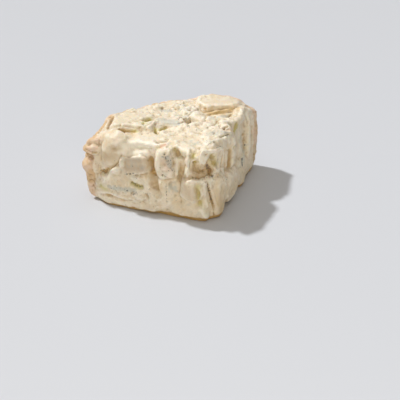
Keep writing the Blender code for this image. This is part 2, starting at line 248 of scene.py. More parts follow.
# Where in the noise each feature starts. Other numbers give another cheese.
seeds = {
    "slabs": 9,
    "flakes": 1,
    "curds": 2,
    "pits": 6,
    "smears": 7,
    "grain": 3,
    "patches": 4,
    "waves": 8,
    "wrinkles": 5,
    "strokes": 14,
    "rindEdge": 21,
    "footEdge": 22,
    "fineMark": 11,
    "wideMark": 12,
    "bends": (20, 40, 60),
}
noiseStep = np.array((5.3, 7.9, 3.1))        # how far on the next seed starts
cellStep = np.array((4.1, 8.7, 2.9))

# Strokes on the surface. Each row is a path in pixels of the 400-pixel picture, then width and depth
# in mm. A step is raised on the path's left side, seen from the front, and lowered on its right.
strokes = {
    "dents": {
        "rindGroove": (((113, 117), (111, 122), (108, 128)), 2.0, 3.0),
        "underRindLump": (((85.5, 150), (91, 151.5), (96, 152)), 1.8, 1.2),
        "boulderShade": (((114, 149), (120, 148)), 3.5, 1.8),
        "crevicePit": (((101.5, 173), (106, 170.5)), 2.6, 3.5),
        "plateauRecess": (((119, 130), (127, 131), (135, 131.5)), 1.8, 1.6),
        "greenHollow": (((143.5, 123.5), (149.5, 121)), 2.6, 1.6),
        "yellowHollow": (((155, 129.5), (156.2, 134)), 2.0, 2.0),
        "twinHollow": (((160.5, 130.5), (165, 129)), 1.8, 2.0),
        "paleCrease": (((140, 147.6), (146, 147), (151, 147.8)), 1.6, 1.4),
        "redDimple": (((159.5, 147.8), (165, 145)), 2.2, 2.2),
        "oliveCave": (((175, 150.5), (181, 153.5)), 3.2, 3.5),
        "notch": (((152.8, 158), (152.6, 165), (153.5, 173)), 4.2, 1.2),
        "notchFoot": (((155, 180), (159, 187)), 3.6, 1.0),
        "boulderSide": (((181, 184), (179.5, 192), (180.5, 202)), 2.4, 1.6),
        "darkHollow": (((190.5, 122.5), (188, 127)), 1.8, 2.6),
        "slabSide": (((205.2, 108), (206, 118)), 1.6, 2.2),
        "cragGap": (((183.5, 119.5), (187.5, 124.5)), 1.3, 1.6),
        "cragGapFar": (((192, 105.5), (196, 107)), 1.3, 1.5),
        "cragGapMiddle": (((185, 114.5), (190, 110)), 1.3, 1.5),
        "cragGapNear": (((178.5, 119.5), (182, 117)), 1.3, 1.5),
        "oliveHollow": (((236.2, 124.5), (234.5, 131.5)), 2.8, 3.2),
        "plateCrevice": (((221, 128.6), (227, 129.4), (232.5, 130.8)), 1.6, 2.0),
        "plateHole": (((221.5, 136.9), (225, 136), (228, 134.8)), 1.4, 1.8),
        "cornerFacet": (((246, 112), (248.2, 118)), 3.2, 3.0),
        "hollowLeftPocket": (((193.5, 156), (194.5, 161)), 3.0, 3.5),
        "hollowRightPocket": (((211.5, 157), (214, 164)), 3.8, 4.0),
        "hollowDark": (((208.5, 168.5), (209.5, 175)), 3.0, 3.5),
        "hollowFloor": (((193, 177), (199, 178), (205, 178)), 2.2, 2.4),
        "rightRecess": (((229.5, 151), (229.3, 159), (228.5, 167)), 2.8, 3.0),
        "betweenFolds": (((235, 134), (234.3, 147), (235, 160)), 2.0, 1.6),
        "nearFold": (((218, 160), (217, 168)), 2.0, 1.0),
        "boulderValley": (((197.5, 186), (198.2, 192), (199, 198), (199.5, 204)), 3.6, 0.9),
        "lens": (((132.5, 182.3), (137, 184.6), (142.3, 187)), 3.0, 2.2),
        "smallHole": (((145, 194), (148.5, 196.5)), 1.2, 1.2),
        "rindChip": (((120, 206), (127, 207.5)), 1.5, 1.4),
        "mouldBay": (((170, 184), (174, 190)), 3.0, 1.2),
    },
    "cracks": {
        "boulderRind": (((101, 138), (99, 146), (96.6, 154), (95.8, 164)), 1.0, 1.6),
        "boulderTopLine": (((123, 133.5), (127, 141.5), (119, 146)), 1.0, 1.2),
        "crevice": (((104, 173.5), (112, 168), (118.8, 161.5), (121, 155)), 1.6, 3.5),
        "plateauCrack": (((129.8, 124), (133, 123.6), (138, 121.3)), 0.9, 1.6),
        "plateauCrackFar": (((131.4, 120.7), (139.5, 118.7)), 0.9, 1.2),
        "lumpFoot": (((161.5, 174.6), (166, 176.5), (169.5, 178.2)), 1.3, 2.6),
        "lumpSide": (((173.7, 158), (174, 168), (174.7, 175)), 1.0, 1.6),
        "foldCrack": (
            ((206.8, 182), (208, 188), (210.4, 194.5), (211, 199), (213.4, 206), (214.4, 215)), 1.7, 3.8,
        ),
        "slabFoot": (((207.3, 115.3), (219.7, 113.7), (231.3, 112), (239.6, 108.6)), 1.2, 1.6),
        "lowLedge": (((101, 193.8), (108, 193.8), (117.3, 197), (124, 200.2), (133, 200.6)), 1.1, 1.6),
        "lowLedgeNear": (((135, 199.4), (140.5, 200), (146.3, 204)), 1.0, 1.2),
        "veinLine": (((166.2, 186), (166.5, 195), (166.7, 203), (166.9, 211)), 0.8, 0.9),
        "lipLine": (((193, 147), (200, 148.3), (208, 149.3), (218, 147.5)), 0.9, 1.2),
        "lumpMark": (((163.5, 153.7), (166, 153.2)), 1.0, 1.4),
        "streak": (((241.7, 158.5), (241.7, 165.5)), 0.9, 1.0),
        "rindLine": (((249.6, 124), (250.4, 135)), 1.0, 1.4),
        "rindLineLow": (((251.5, 140), (251, 160)), 0.9, 1.0),
        "facetFoot": (((124, 174.6), (130, 173), (137, 175)), 0.9, 1.2),
        "pillarSide": (((190.2, 155), (190, 166), (189, 176)), 1.0, 1.8),
    },
    "ridges": {
        "rindLump": (((89, 142), (93, 140.5), (97, 141)), 5.0, 2.4),
        "rindLumpLow": (((87.5, 160), (88, 165)), 4.0, 1.6),
        "cornerLump": (((188, 187), (190, 194)), 6.5, 2.2),
        "ledgeCrest": (((125, 153.6), (135, 152.6), (147, 153)), 3.0, 2.4),
        "paleRidge": (((148.5, 128), (152, 125), (157, 120.8)), 1.6, 1.4),
        "paleLumps": (((139, 126.5), (143.5, 127.5)), 2.4, 1.4),
        "lumpEdge": (((158, 151), (157.5, 160), (158, 170)), 1.4, 1.4),
        "pillar": (((188, 154), (188.3, 165), (187.5, 176)), 1.4, 1.8),
        "wallRib": (((176.3, 158), (176.6, 166), (176.6, 174)), 1.2, 1.6),
        "tooth": (((203, 151), (201.3, 156), (200.7, 162.5)), 1.5, 3.0),
        "boulderRim": (((188, 181.5), (192.5, 180.3), (197, 182), (202, 181.3), (206, 183.5)), 1.6, 1.8),
        "frontLip": (((206, 151.5), (214, 151.3), (221.5, 149)), 1.6, 1.6),
        "paleBumps": (((214.5, 168.5), (218, 171)), 1.8, 1.6),
        "columnEdge": (((203.5, 186), (205, 195), (207.5, 206)), 1.8, 1.2),
        "tipFoot": (((200.6, 209.5), (203, 214), (207, 218)), 2.6, 2.0),
        "foldNear": (((222, 150), (222.8, 160), (221, 175)), 1.8, 1.6),
        "foldFar": (((238.8, 133), (239, 148), (238.3, 166)), 2.0, 1.4),
        "lobeEdge": (((210.5, 186), (213.5, 197), (217, 208)), 1.8, 1.0),
        "lowLedgeLip": (((101, 191.5), (110, 192), (118, 194.8), (126, 197.8)), 1.4, 0.9),
        "peak": (((240, 109.5), (242, 112.5)), 2.2, 1.6),
    },
    "steps": {
        "slabEdge": (((239.5, 107.5), (229, 109), (218, 110.5), (207, 113)), 4.0, 2.4),
        "plateauEdge": (((136, 129.2), (129, 128), (119, 127.6), (113, 128.5)), 3.0, 1.4),
        "facetTop": (((146.3, 157.4), (136, 156.6), (123, 156.8)), 3.5, 1.8),
        "facetSide": (((123, 156.8), (122.3, 164), (122, 172)), 3.0, 1.4),
        "plateTop": (((233, 133.5), (226, 137.5), (214, 140)), 3.0, 1.2),
        "mouldPlate": (((179, 125), (170, 125.5), (160, 124)), 2.5, 1.2),
    },
}

# Stretches that are smoother or more crumbly than the rest: path, width in mm, strength.
textures = {
    "calm": {
        "slab": (((212, 104), (222, 102), (234, 103)), 18, 1.0),
        "slabFront": (((208, 114), (222, 112), (238, 108)), 4, 0.7),
        "plateau": (((118, 120), (126, 119)), 9, 0.7),
        "boulderTop": (((105, 136), (117, 137)), 12, 1.0),
        "boulderFront": (((106, 148), (110, 160)), 16, 1.0),
        "slope": (((128, 137), (140, 140), (150, 137)), 10, 0.9),
        "ledge": (((126, 150), (145, 152)), 6, 0.8),
        "facet": (((130, 163), (142, 165)), 14, 1.0),
        "mouldFlat": (((160, 120), (170, 122), (178, 123)), 7, 0.8),
        "mouldFar": (((160, 111), (171, 112)), 5, 0.8),
        "middle": (((168, 140), (185, 138), (185, 145)), 7, 0.5),
        "cornerBoulder": (((187, 190), (192, 196)), 12, 1.0),
        "nearLobe": (((216, 192), (220, 210)), 14, 0.9),
        "lowRight": (((172, 205), (190, 212)), 10, 0.8),
        "lowLeft": (((100, 200), (125, 203), (150, 208)), 5, 0.6),
        "farFace": (((238, 140), (244, 160)), 10, 0.7),
    },
    "crumbly": {
        "crags": (((183, 106), (187, 113), (184, 122)), 14, 1.0),
        "cragsNear": (((192, 128), (198, 122)), 10, 0.8),
        "plate": (((212, 124), (222, 132), (214, 140)), 12, 0.6),
        "plateauCracks": (((130, 123), (139, 119)), 5, 0.8),
        "hollow": (((196, 168), (206, 172)), 16, 1.0),
        "hollowRim": (((194, 180), (206, 181)), 4, 0.9),
        "lumpFace": (((166, 158), (170, 166)), 6, 0.6),
        "veins": (((110, 187), (124, 189), (136, 191)), 6, 0.5),
        "crevice": (((102, 173), (106, 170)), 4, 0.9),
        "wall": (((181, 165), (184, 176)), 8, 0.6),
    },
}

# Stains and mould on the paste, with painted shade and painted highlights among them: path, width in mm,
# strength.
stainsAndPaintedLight = {
    # Partly the paste's own yellowing and partly warm painted shade in grooves, recesses and on faces turned
    # from the light.
    "ochreAndShade": {
        "rindGroove": (((113, 117), (111, 122), (108.5, 128)), 2.6, 1.0),
        "underRindLump": (((85.5, 150), (91, 151.5), (96, 152.5)), 2.4, 0.9),
        "boulderShade": (((114, 149), (121, 148)), 4, 0.45),
        "boulderFoot": (((103, 158), (112, 156)), 8, 0.32),
        "crevice": (((102, 173), (106, 171), (113, 167.5)), 2.6, 0.7),
        "plateauRecess": (((119, 130), (127, 131), (136, 131.6)), 2.2, 0.8),
        "redDimple": (((158, 148), (163, 146.5)), 2.4, 0.6),
        "notch": (((152.6, 157), (152.6, 165), (153.5, 174)), 5.0, 0.95),
        "notchFoot": (((155, 179), (159.5, 189)), 5, 0.45),
        "slabFront": (((208.5, 113.5), (219, 111.7), (230, 110), (239, 107.8)), 3.4, 0.85),
        "slabSide": (((205.6, 109), (206, 118)), 1.6, 0.7),
        "hollowFloor": (((193, 167), (199, 173), (205, 176)), 5, 0.55),
        "hollowGap": (((207, 168), (209, 174)), 2.6, 0.8),
        "foldWarm": (((216, 155), (219, 178)), 6, 0.25),
        "rightRecess": (((229.5, 152), (229.3, 159), (228.5, 167)), 2.6, 0.55),
        "innerEdge": (((224.5, 150), (224.8, 165)), 1.6, 0.4),
        "lowLedge": (((107, 194), (117, 197), (124, 200.3)), 1.2, 0.6),
        "nearLobe": (((218, 195), (222, 212)), 10, 0.42),
        "cornerBoulder": (((186, 190), (192, 198)), 9, 0.25),
        "foldCrack": (((207.5, 184), (209.8, 194.5), (213, 205)), 1.4, 0.7),
        "recessWall": (((181, 168), (185, 178)), 5, 0.3),
    },
    "olive": {
        "greenHollow": (((143.5, 123.5), (149.5, 121)), 3.6, 0.85),
        "yellowHollow": (((155, 129.5), (156.2, 134)), 2.8, 0.9),
        "twinHollow": (((160, 130.5), (165, 129)), 2.4, 0.8),
        "paleCrease": (((141, 147.6), (151, 147.8)), 2.0, 0.4),
        "yellowSpot": (((157, 147.5), (158, 147)), 2.0, 0.6),
        "plateauEnd": (((132, 130.5), (137, 131.5)), 2.0, 0.7),
        "oliveCave": (((175, 150.5), (181, 153.5)), 3.4, 0.8),
        "oliveHollow": (((236.2, 125), (234.5, 131.5)), 3.2, 0.95),
        "oliveStreak": (((234.5, 133), (234.2, 146)), 2.4, 0.6),
        "hollowLeft": (((193.5, 156), (194.5, 161)), 3.0, 0.9),
        "hollowRight": (((210.5, 157), (214.5, 164)), 4.0, 1.0),
        "boulderValley": (((198, 187), (199, 196), (200, 204)), 3.4, 0.75),
        "lens": (((133, 183), (141, 186.5)), 3.2, 1.0),
        "greenPatch": (((101.5, 186), (105.5, 189)), 3.4, 0.7),
        "footCorner": (((93, 199), (98, 201)), 2.4, 0.6),
        "tipColumn": (((199.5, 205), (202, 213)), 2.2, 0.35),
    },
    "blueGrey": {
        "mouldFar": (((162.5, 110.5), (171, 111)), 3.0, 1.0),
        "mouldFlat": (((160, 119.5), (170, 121.5), (178, 123)), 5.5, 0.75),
        "besideSlab": (((210, 117.5), (225, 116), (238, 114)), 3.5, 0.5),
        "plate": (((210, 133), (222, 132), (229, 134.5)), 5, 0.5),
        "plateFront": (((192, 142), (205, 144), (214, 142)), 4.5, 0.4),
        "lowFront": (((171, 186), (175, 191)), 4.5, 0.6),
        "veins": (((110, 187), (120, 188.5), (134, 190.5)), 3.2, 0.9),
        "rightFace": (((240, 138), (243, 150), (243, 162)), 6, 0.5),
        # The facet's grey is partly mould and partly painted shade.
        "facet": (((128, 163), (143, 166)), 9, 0.2),
        "lumpFace": (((168, 157), (171, 166)), 3.5, 0.6),
        "crags": (((181, 107), (188, 112), (186, 119)), 8, 0.4),
    },
    # Painted shade: darker brown laid in crevices, recesses, hollows and on faces turned from the light.
    "paintedShade": {
        "rindGroove": (((112.5, 118.5), (110.5, 123.5), (108.5, 129)), 2.6, 1.0),
        "underRindLump": (((85.5, 150.5), (91, 151.5), (96, 152.5)), 2.0, 0.6),
        "facet": (((127, 160), (143, 160)), 7, 0.48),
        "facetLow": (((127, 168), (143, 168)), 7, 0.48),
        "boulderFront": (((104, 156), (114, 156)), 7, 0.22),
        "boulderShade": (((114, 148.5), (121, 147)), 4, 0.35),
        "rightRecess": (((229.5, 152), (229, 166)), 2.6, 0.4),
        "lumpSide": (((166, 157), (171, 166)), 5, 0.45),
        "notchFoot": (((154.5, 179), (158.5, 188)), 3.6, 0.3),
        "lens": (((133, 183), (141, 186.5)), 2.4, 0.35),
        "hollowRight": (((210.5, 157), (214.5, 165)), 3.0, 0.68),
        "hollowDark": (((206.5, 166), (210, 170), (209, 176)), 2.8, 0.9),
        "hollowFloor": (((193, 171), (203, 177)), 5, 0.4),
        "cornerBoulder": (((186, 188), (192, 197)), 9, 0.24),
        "rightLobe": (((219, 192), (220, 208)), 9, 0.08),
        "wallFoot": (((179, 176), (186, 178)), 3, 0.3),
        "foldCrack": (((207, 183), (209.8, 194.5), (213, 205)), 1.4, 0.6),
        "peakShade": (((238, 119), (237, 126)), 3, 0.3),
    },
    "darkMould": {
        "facetFoot": (((127, 174.3), (132, 173.2), (136.5, 175)), 1.3, 0.7),
        "facetMark": (((131.5, 171.6), (132.5, 172)), 1.0, 0.8),
        "veinDots": (((125, 189), (129, 191.5)), 1.8, 0.65),
        "veinDotsNear": (((131, 193), (133.5, 194.5), (136.5, 192.5)), 1.9, 0.7),
        "veinDotsLeft": (((110, 188), (118, 187.5)), 1.8, 0.5),
        "veinDotsRight": (((144.5, 193), (148.5, 195.5)), 1.8, 0.65),
        "veinLine": (((144.7, 189.5), (150.5, 188.3)), 1.0, 0.6),
        "lens": (((133, 182.6), (137, 184.6), (142, 186.8)), 2.0, 0.85),
        "lumpFoot": (((162, 174.8), (166, 176.8), (169.5, 178)), 1.2, 0.95),
        "lumpDots": (((164.5, 157), (169, 162), (171, 170)), 4.0, 0.5),
        "lumpMark": (((163.7, 153.7), (165.5, 153.3)), 1.2, 0.8),
        "lowLine": (((166.2, 184), (166.5, 194), (166.7, 203)), 1.1, 0.6),
        "darkHollow": (((190, 122.5), (188, 127.5)), 1.9, 0.75),
        "cragDots": (((192, 105.5), (195.5, 107)), 1.6, 0.65),
        "cragDotsMiddle": (((185, 115), (190, 110.5)), 1.6, 0.65),
        "cragDotsNear": (((178.5, 119.5), (182, 117.5)), 1.5, 0.65),
        "slabSide": (((205.4, 108), (205.7, 113)), 1.3, 0.6),
        "plateHole": (((221.5, 136.9), (225, 136), (228, 134.8)), 1.4, 0.75),
        "plateSpots": (((205, 141), (210, 143.5)), 2.4, 0.55),
        "plateMarks": (((216, 126), (222, 128)), 2.4, 0.5),
        "rimSpot": (((217, 147), (220.5, 146.7)), 1.3, 0.75),
        "hollowDark": (((209.5, 168), (208.5, 174), (205, 178)), 2.4, 0.75),
        "hollowSpots": (((193, 178), (203, 179.3)), 1.8, 0.65),
        "foldCrack": (((207.3, 184), (209.8, 194.5), (212.4, 203)), 2.0, 0.95),
        "hollowGap": (((206.5, 166), (210, 170), (212.5, 176)), 2.4, 0.85),
        "streak": (((241.7, 159), (241.7, 165)), 1.9, 1.5),
        "rightDot": (((244.6, 145.3), (244.8, 147)), 1.2, 0.8),
        "rightDotLow": (((233, 171), (233.2, 173)), 1.2, 0.6),
        "peakShade": (((241, 115), (243, 113)), 1.6, 0.5),
        "topLineMarks": (((193, 147.2), (200, 148.2)), 1.2, 0.5),
        "boulderMarks": (((101, 171), (106, 169)), 2.2, 0.55),
        "footMarks": (((124, 204), (128, 206)), 1.4, 0.4),
    },
    "pink": {
        "redDimple": (((161.5, 146.6), (165.5, 144.8)), 1.9, 1.0),
        "ledge": (((141, 152.5), (154, 150.5)), 2.6, 0.3),
        "boulderTop": (((116, 139), (121, 142)), 4, 0.2),
        "slab": (((213, 105), (228, 102)), 12, 0.07),
        "plateCrevice": (((221, 128.8), (232.5, 130.8)), 2.2, 0.45),
        "lumpFace": (((162, 162), (167, 170)), 5, 0.25),
        "foldFoot": (((228, 201), (232, 198)), 3, 0.3),
    },
    # Painted highlights: lighter colour laid on lit ledges, edges, ridges, slopes and the bright foot lobe.
    "paintedHighlight": {
        "ledge": (((124, 153.5), (134, 153), (146, 153.5)), 4.5, 1.0),
        "slope": (((126, 147), (138, 145), (152, 145)), 9, 1.0),
        "slopeHigh": (((130, 139), (142, 138), (152, 138)), 6, 0.2),
        "lumpEdge": (((158.3, 152), (158, 160), (158.3, 170)), 2.0, 0.9),
        "boulderEdge": (((101, 146), (101, 154)), 3, 0.4),
        "upperTip": (((201, 183), (205, 184)), 2.4, 0.9),
        "farFace": (((238, 137), (242, 160)), 5, 0.35),
        "crestLow": (((105.5, 178.5), (113, 172.5), (121.5, 164)), 2.4, 0.9),
        "facetSide": (((122.6, 157), (122.4, 166)), 1.6, 0.8),
        "tooth": (((202.5, 151.5), (201, 162)), 2.0, 0.9),
        "lip": (((206, 151.5), (214, 151.3), (221.5, 149)), 2.2, 0.7),
        "pillar": (((188, 153), (188.3, 176)), 1.7, 0.6),
        "rib": (((176.3, 158), (176.6, 174)), 1.5, 0.7),
        "boulderRim": (((188, 181.5), (197, 182), (206, 183.5)), 1.8, 0.7),
        "tipFoot": (((200.6, 208), (203, 214), (208, 218.5)), 3.2, 1.0),
        "cornerFacet": (((246.2, 114), (248.6, 119), (251, 124)), 2.4, 1.0),
        "bumps": (((214.5, 168.5), (218, 171)), 2.0, 0.7),
        "lowLedge": (((98, 192.5), (106, 192.5), (118, 195.3)), 1.8, 0.8),
        "lowStrip": (((101, 197), (115, 202), (130, 205)), 3.2, 0.5),
    },
    "rindStain": {
        "upperLump": (((88, 141), (94, 139), (99, 141)), 7, 0.9),
        "upperLumpFoot": (((88, 147), (95, 148)), 5, 0.9),
        "lowerLump": (((88, 158), (89, 165)), 7, 0.9),
        "cornerStrip": (((98, 132), (103, 126), (109, 119)), 4.0, 0.9),
        "rightEnd": (((253.5, 112), (255, 118)), 3.0, 0.9),
        "rightStrip": (((251, 128), (251.3, 134)), 1.8, 0.9),
    },
}


def smoothStep(value):
    clipped = np.clip(value, 0, 1)
    return clipped * clipped * (3 - 2 * clipped)


def noiseOf(points, size, seed):        # smooth noise from about -1 to 1 at each point
    shift = Vector(seed * noiseStep)
    return np.array([noise.noise(Vector(point) / size + shift) for point in points])


def bentBy(points, size, seed, bend):        # points in units of a cell, moved so that cell edges wander
    bends = [noiseOf(points, size / block["bendScale"], seed + offset) for offset in seeds["bends"]]
    return points / size + seed * cellStep + bend * np.stack(bends, axis=1)


def flakesOf(points, size, seed, step):        # each cell has its own level and slope, a step from the next
    levels = np.empty(len(points))
    for index, spot in enumerate(bentBy(points, size, seed, block["flakeBend"])):
        distances, centres = noise.voronoi(Vector(spot))
        found = []
        for centre in centres[:2]:
            chance = noise.cell_vector(centre * block["tiltSpread"])
            slope = Vector((chance.y, chance.z, chance.x)) * block["tilt"]
            found.append(chance.x + slope.dot(Vector(spot) - centre))
        share = 0.5 + 0.5 * min((distances[1] - distances[0]) / step, 1)
        levels[index] = found[0] * share + found[1] * (1 - share)
    return levels


def curdsOf(points, size, seed):        # 1 in the middle of each curd and 0 in the creases between them
    spots = bentBy(points, size, seed, block["curdBend"])
    gaps = [distances[1] - distances[0] for distances, _ in map(noise.voronoi, map(Vector, spots))]
    return 1 - np.exp(-block["curdCrease"] * np.array(gaps))


def readMesh(piece):
    count = len(piece.data.vertices)
    points, normals = np.empty(count * 3), np.empty(count * 3)
    piece.data.vertices.foreach_get("co", points)
    piece.data.vertices.foreach_get("normal", normals)
    return points.reshape(-1, 3), normals.reshape(-1, 3)


def writePoints(piece, points):
    piece.data.vertices.foreach_set("co", points.ravel())
    piece.data.update()


def applyModifiers(piece):
    graph = bpy.context.evaluated_depsgraph_get()
    made = bpy.data.meshes.new_from_object(piece.evaluated_get(graph))
    piece.modifiers.clear()
    piece.data = made


def copyOfNode(node):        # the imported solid's shape in small even faces, as a new piece
    shape = bmesh.new()
    shape.from_mesh(node.data)
    bmesh.ops.remove_doubles(shape, verts=shape.verts, dist=block["weld"])
    mesh = bpy.data.meshes.new("cheeseBlock")
    shape.to_mesh(mesh)
    shape.free()
    piece = bpy.data.objects.new("cheeseBlock", mesh)
    bpy.context.scene.collection.objects.link(piece)
    even = piece.modifiers.new("evenFaces", "REMESH")
    even.mode = "VOXEL"
    even.voxel_size = block["voxel"]
    soften = piece.modifiers.new("soften", "SMOOTH")
    soften.factor = block["evenShare"]
    soften.iterations = block["evenPasses"]
    applyModifiers(piece)
    return piece


def treeOf(piece):
    return BVHTree.FromObject(piece, bpy.context.evaluated_depsgraph_get())


def traced(tree, path):        # the places and normals where a path of pixels lands on the surface
    places, normals = [], []
    for pixel in path:
        start, direction = pixelRay(pixel)
        place, normal, _, _ = tree.ray_cast(start, direction)
        if place is not None:
            places.append(np.array(place))
            normals.append(np.array(normal))
    return places, normals


def nearPath(points, normals, places, turns):        # distance to a path, signed distance to its side, facing
    closest, aside = np.full(len(points), np.inf), np.zeros(len(points))
    if len(places) == 1:        # a path that lands at one place only is a dot
        places, turns = places * 2, turns * 2
    for first, second, turn in zip(places, places[1:], turns):
        along = second - first
        length = max(np.linalg.norm(along), 0.001 * mm)
        share = np.clip((points - first) @ along / length**2, 0, 1)
        offset = points - first - share[:, None] * along
        distance = np.linalg.norm(offset, axis=1)
        side = offset @ np.cross(turn, along / length)
        nearer = distance < closest
        closest[nearer], aside[nearer] = distance[nearer], side[nearer]
    return closest, aside, smoothStep(normals @ np.mean(turns, axis=0) * block["facingSlope"])


def eachPath(points, normals, tree, rows):        # how the points lie to each path that lands on the block
    for path, width, amount in rows.values():
        places, turns = traced(tree, path)
        if places:
            yield *nearPath(points, normals, places, turns), np.mean(turns, axis=0), width * mm, amount


def strokeShape(kind, distance, aside, width):        # how far a stroke pushes, as a share of its depth
    reach = distance / width
    if kind == "dents":
        return -np.exp(-reach**2)
    if kind == "cracks":
        return -np.clip(1 - reach, 0, 1)
    if kind == "ridges":
        return np.exp(-reach**2)
    return np.tanh(aside / block["stepWidth"]) * np.exp(-reach**2) / 2


def carveStrokes(piece):        # the dents, cracks, ridges and steps that the block has
    points, normals = readMesh(piece)
    tree = treeOf(piece)
    ragged = 1 + block["strokeRaggedShare"] * noiseOf(points, block["strokeRagged"], seeds["strokes"])
    push = np.zeros((len(points), 3))
    for kind, rows in strokes.items():
        for distance, aside, facing, turn, width, depth in eachPath(points, normals, tree, rows):
            amount = strokeShape(kind, distance * ragged, aside, width) * facing * depth * mm
            push += amount[:, None] * (turn / np.linalg.norm(turn))
    writePoints(piece, points + push)


def coverOf(points, normals, tree, rows):        # how much each point lies on one of the rows' stretches
    cover = np.zeros(len(points))
    for distance, _, facing, _, width, strength in eachPath(points, normals, tree, rows):
        near = smoothStep(block["coverReach"] - distance / width) * np.maximum(facing, block["facingLeast"])
        cover = np.maximum(cover, strength * near)
    return cover


def shareOfRind(points):        # 1 on the curved rind and 0 in the paste, with an uneven edge
    offset = points[:, :2] - np.array(wheel["axis"])
    radius = np.hypot(offset[:, 0], offset[:, 1])
    rim = block["rimDepth"] * smoothStep((points[:, 2] - block["rimStart"]) / block["rimFade"])
    wander = noiseOf(points, block["rindEdge"], seeds["rindEdge"]) * block["rindWander"]
    inside = radius - wheel["radius"] + block["rindDepth"] + rim + wander
    return smoothStep(inside / block["rindFade"])


def shareOfFoot(points):        # 1 on the thin rind along the foot
    rightward = smoothStep((points[:, 0] - block["footLeft"]) / block["footWidening"])
    height = block["footThin"] + (block["footRind"] - block["footThin"]) * rightward
    wander = noiseOf(points, block["footEdge"], seeds["footEdge"]) * block["footWander"]
    return smoothStep((height + wander - points[:, 2]) / block["footFade"] + 0.5)


def breakSurface(piece):        # slabs, flakes, curds, pits and smears on the paste, wrinkles on the rind
    points, normals = readMesh(piece)
    tree = treeOf(piece)
    rind = shareOfRind(points)
    top = smoothStep((normals[:, 2] - block["topSlope"]) / block["topFade"])
    aboveFoot = smoothStep((points[:, 2] - block["footFlat"]) / block["footEase"])
    calm = coverOf(points, normals, tree, textures["calm"])
    crumbly = coverOf(points, normals, tree, textures["crumbly"])
    patchNoise = noiseOf(points, block["patchSize"], seeds["patches"])
    patch = smoothStep(patchNoise * block["patchContrast"] + block["patchLevel"])
    patchy = block["patchLeast"] + (1 - block["patchLeast"]) * patch
    torn = patchy * (1 - (1 - block["calmShare"]) * calm) + block["crumblyShare"] * crumbly
    slabs = flakesOf(points, block["slabSize"], seeds["slabs"], block["slabStep"]) * block["slabRise"]
    flakes = flakesOf(points, block["flakeSize"], seeds["flakes"], block["flakeStep"]) * block["flakeRise"]
    curds = (curdsOf(points, block["curdSize"], seeds["curds"]) - block["curdLevel"]) * block["curdRise"]
    pitNoise = noiseOf(points, block["pitSize"], seeds["pits"])
    pits = smoothStep((pitNoise - block["pitStart"]) * block["pitSlope"]) * block["pitDepth"]
    smears = noiseOf(points * block["smearStretch"], block["smearSize"], seeds["smears"]) * block["smearRise"]
    grain = noiseOf(points, block["grain"], seeds["grain"]) * block["grainRise"]
    onTop = (slabs + flakes + curds - pits) * torn
    onCuts = sum(share * layer for share, layer in zip(block["cutShares"], (slabs, flakes, curds, -pits)))
    onCuts = onCuts * torn + smears * (1 - block["smearCalm"] * calm)
    onPaste = onTop * top + onCuts * (1 - top) + grain
    waves = noiseOf(points, block["waveSize"], seeds["waves"]) * block["waveRise"]
    wrinkles = noiseOf(points * block["rindStretch"], block["rindSize"], seeds["wrinkles"])
    pitted = wrinkles * block["rindRise"] + block["rindShare"] * (curds - pits)
    onRind = waves + pitted * (block["rindLeast"] + patch) + grain
    amount = (onPaste * (1 - rind) + onRind * rind) * aboveFoot
    writePoints(piece, points + normals * amount[:, None])


def neighbourMean(edgeEnds, counts, values):        # the mean of each point's neighbours
    first, second = edgeEnds
    size = len(values)
    total = np.bincount(first, values[second], size) + np.bincount(second, values[first], size)
    return total / counts


def hollowness(piece, passes):        # how far a point lies below its smoothed surroundings, in mm
    points, normals = readMesh(piece)
    ends = np.empty(len(piece.data.edges) * 2, int)
    piece.data.edges.foreach_get("vertices", ends)
    edgeEnds = ends.reshape(-1, 2).T
    counts = np.maximum(np.bincount(ends, minlength=len(points)), 1)
    smooth = points.copy()
    for _ in range(passes):
        for column in range(3):
            smooth[:, column] = neighbourMean(edgeEnds, counts, smooth[:, column])
    return np.einsum("ij,ij->i", smooth - points, normals) / mm


def addMask(piece, name, values):
    mask = piece.data.attributes.new(name, "FLOAT", "POINT")
    mask.data.foreach_set("value", np.clip(values, 0, 1).astype(np.float32))


def paintMasks(piece):        # stores where rind, hollows, stains, painted shade and painted highlights are, for the finish
    points, normals = readMesh(piece)
    tree = treeOf(piece)
    ragged = noiseOf(points, block["markFine"], seeds["fineMark"]) * block["markFineShare"]
    ragged = ragged + noiseOf(points, block["markWide"], seeds["wideMark"]) * block["markWideShare"]
    for name, rows in stainsAndPaintedLight.items():
        total = np.zeros(len(points))
        for distance, _, facing, _, width, strength in eachPath(points, normals, tree, rows):
            spread = np.exp(-(distance * (1 + ragged) / width) ** 2)
            total = np.maximum(total, spread * strength * np.maximum(facing, block["facingLeast"]))
        addMask(piece, name, total)
    addMask(piece, "rind", shareOfRind(points))
    addMask(piece, "footRind", shareOfFoot(points))
    for name in ("fineHollow", "wideHollow"):        # 0.5 where the surface is even
        addMask(piece, name, hollowness(piece, block[name + "Passes"]) * block[name + "Gain"] + 0.5)


def makeBlock():
    piece = copyOfNode(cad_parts["gorgonzola"])
    print("block copied:", len(piece.data.polygons), "faces")
    carveStrokes(piece)
    print("strokes carved")
    breakSurface(piece)
    print("surface broken")
    paintMasks(piece)
    print("stains painted")
    piece.data.shade_smooth()
    return piece


# the block's finish

